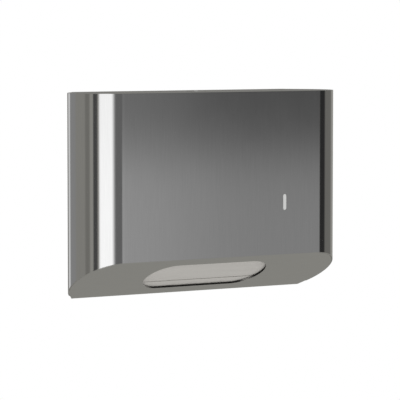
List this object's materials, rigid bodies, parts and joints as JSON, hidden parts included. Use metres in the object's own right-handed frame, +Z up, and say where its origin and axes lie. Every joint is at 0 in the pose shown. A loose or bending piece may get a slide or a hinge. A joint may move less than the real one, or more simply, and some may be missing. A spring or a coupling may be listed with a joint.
{
  "type": "paper towel dispenser",
  "caption": "Wall-mounted stainless steel dispenser for folded paper towels, with rolled corners, a slanted slotted bottom and a lockable cover that swings down.",
  "frame": {"origin": "centre of the four wall screw holes, on the wall plane", "axes": "+X to the right as seen from the front, +Y into the wall, +Z up"},
  "size_m": [0.4, 0.1125, 0.272],
  "materials": {
    "satin_steel": "satin",
    "inner_steel": "mill",
    "fastener_steel": "plain",
    "lock_metal": "plated",
    "window_plastic": "smooth",
    "towel_paper": "matt paper"
  },
  "bodies": {
    "cabinet": {"back_plate": "inner_steel", "hinge_bracket_left": "inner_steel", "hinge_bracket_right": "inner_steel", "hinge_pin_left": "fastener_steel", "hinge_pin_right": "fastener_steel", "bracket_rivets": "fastener_steel", "towel_tray": "inner_steel", "side_guide_left": "inner_steel", "side_guide_right": "inner_steel", "lock_strike": "inner_steel", "lead_towel": "towel_paper", "towel_stack": "towel_paper"},
    "cover": {"cover_wrap": "satin_steel", "cover_top": "satin_steel", "cover_bottom": "satin_steel", "hinge_lug_left": "inner_steel", "hinge_lug_right": "inner_steel", "level_window": "window_plastic", "lock_housing": "lock_metal", "lock_nut": "lock_metal"},
    "lock": {"lock_barrel": "lock_metal", "lock_cam": "lock_metal", "cam_screw": "fastener_steel"}
  },
  "joints": [
    {"name": "cover_hinge", "type": "hinge", "parent": "cabinet", "child": "cover", "pos_m": [0, -0.009, -0.128], "axis": [1, 0, 0], "range_deg": [0, 80]},
    {"name": "lock_turn", "type": "hinge", "parent": "cover", "child": "lock", "pos_m": [0, -0.045, 0.126], "axis": [0, 0, -1], "range_deg": [0, 90]}
  ]
}
